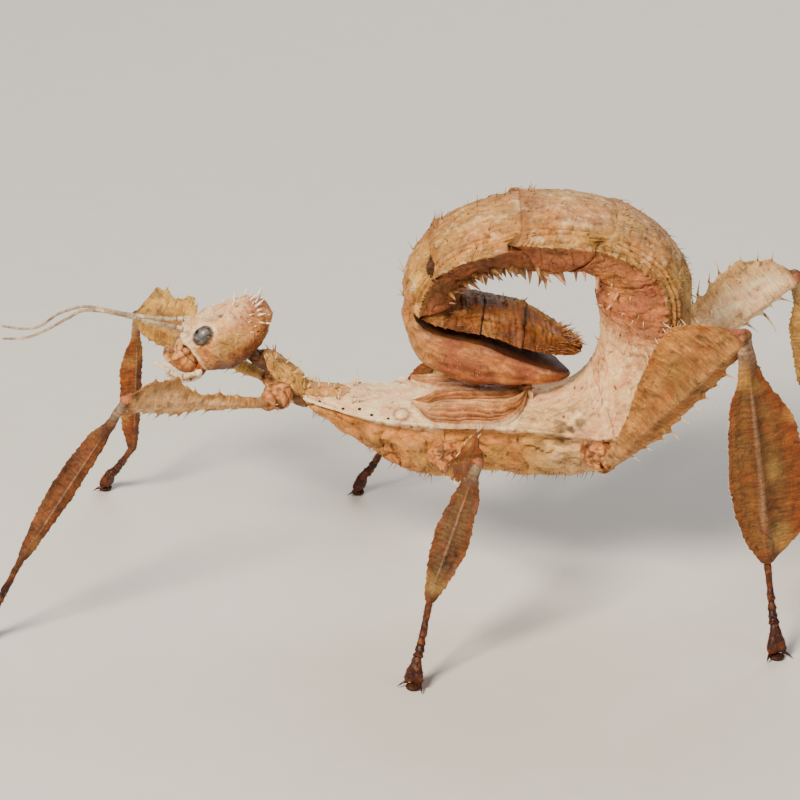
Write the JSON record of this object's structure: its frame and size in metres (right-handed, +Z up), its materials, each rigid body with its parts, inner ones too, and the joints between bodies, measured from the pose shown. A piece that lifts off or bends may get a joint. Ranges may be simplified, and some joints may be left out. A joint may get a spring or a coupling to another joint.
{
  "type": "macleays spectre stick insect",
  "caption": "Life-size female leaf-like stick insect standing on her feet, with leafy toothed legs, spiny plates and the abdomen curled in a loop over her back",
  "frame": {"origin": "middle of the outline, on the floor that the feet stand on", "axes": "+X towards the tail, so the head points to -X; +Y to the insect's right; +Z up"},
  "size_m": [0.122, 0.0616, 0.0551],
  "materials": {
    "plate": "dry tan body plate",
    "tergite": "dry pinkish-tan abdomen plate",
    "terminal": "dark brown plate of the abdomen's tip",
    "wing_pad": "veined orange-pink wing",
    "limb": "dry-leaf brown limb",
    "tarsus": "dark reddish foot",
    "mouth": "soft brown joint and mouth skin",
    "eye": "glossy faceted eye",
    "feeler": "grey-white feeler"
  },
  "bodies": {
    "root": {"head": "plate", "mouthparts": "mouth", "palp_left": "mouth", "palp_right": "mouth", "eye_left": "eye", "eye_right": "eye", "antenna_left": "feeler", "antenna_right": "feeler", "neck": "mouth", "prothorax": "plate", "mesothorax": "plate", "metathorax": "plate", "wing_pad_left": "wing_pad", "wing_pad_right": "wing_pad", "abdomen_2": "tergite", "abdomen_3": "tergite", "abdomen_4": "tergite", "abdomen_5": "tergite", "abdomen_6": "tergite", "abdomen_7": "tergite", "abdomen_8": "terminal", "abdomen_9": "terminal", "abdomen_10": "terminal", "operculum": "tergite", "coxa_fore_left": "limb", "coxa_fore_right": "limb", "coxa_mid_left": "limb", "coxa_mid_right": "limb", "coxa_hind_left": "limb", "coxa_hind_right": "limb", "femur_fore_left": "limb", "femur_fore_right": "limb", "femur_mid_left": "limb", "femur_mid_right": "limb", "femur_hind_left": "limb", "femur_hind_right": "limb", "tibia_fore_left": "limb", "tibia_fore_right": "limb", "tibia_mid_left": "limb", "tibia_mid_right": "limb", "tibia_hind_left": "limb", "tibia_hind_right": "limb", "tarsus_fore_left": "tarsus", "tarsus_fore_right": "tarsus", "tarsus_mid_left": "tarsus", "tarsus_mid_right": "tarsus", "tarsus_hind_left": "tarsus", "tarsus_hind_right": "tarsus"}
  },
  "joints": []
}
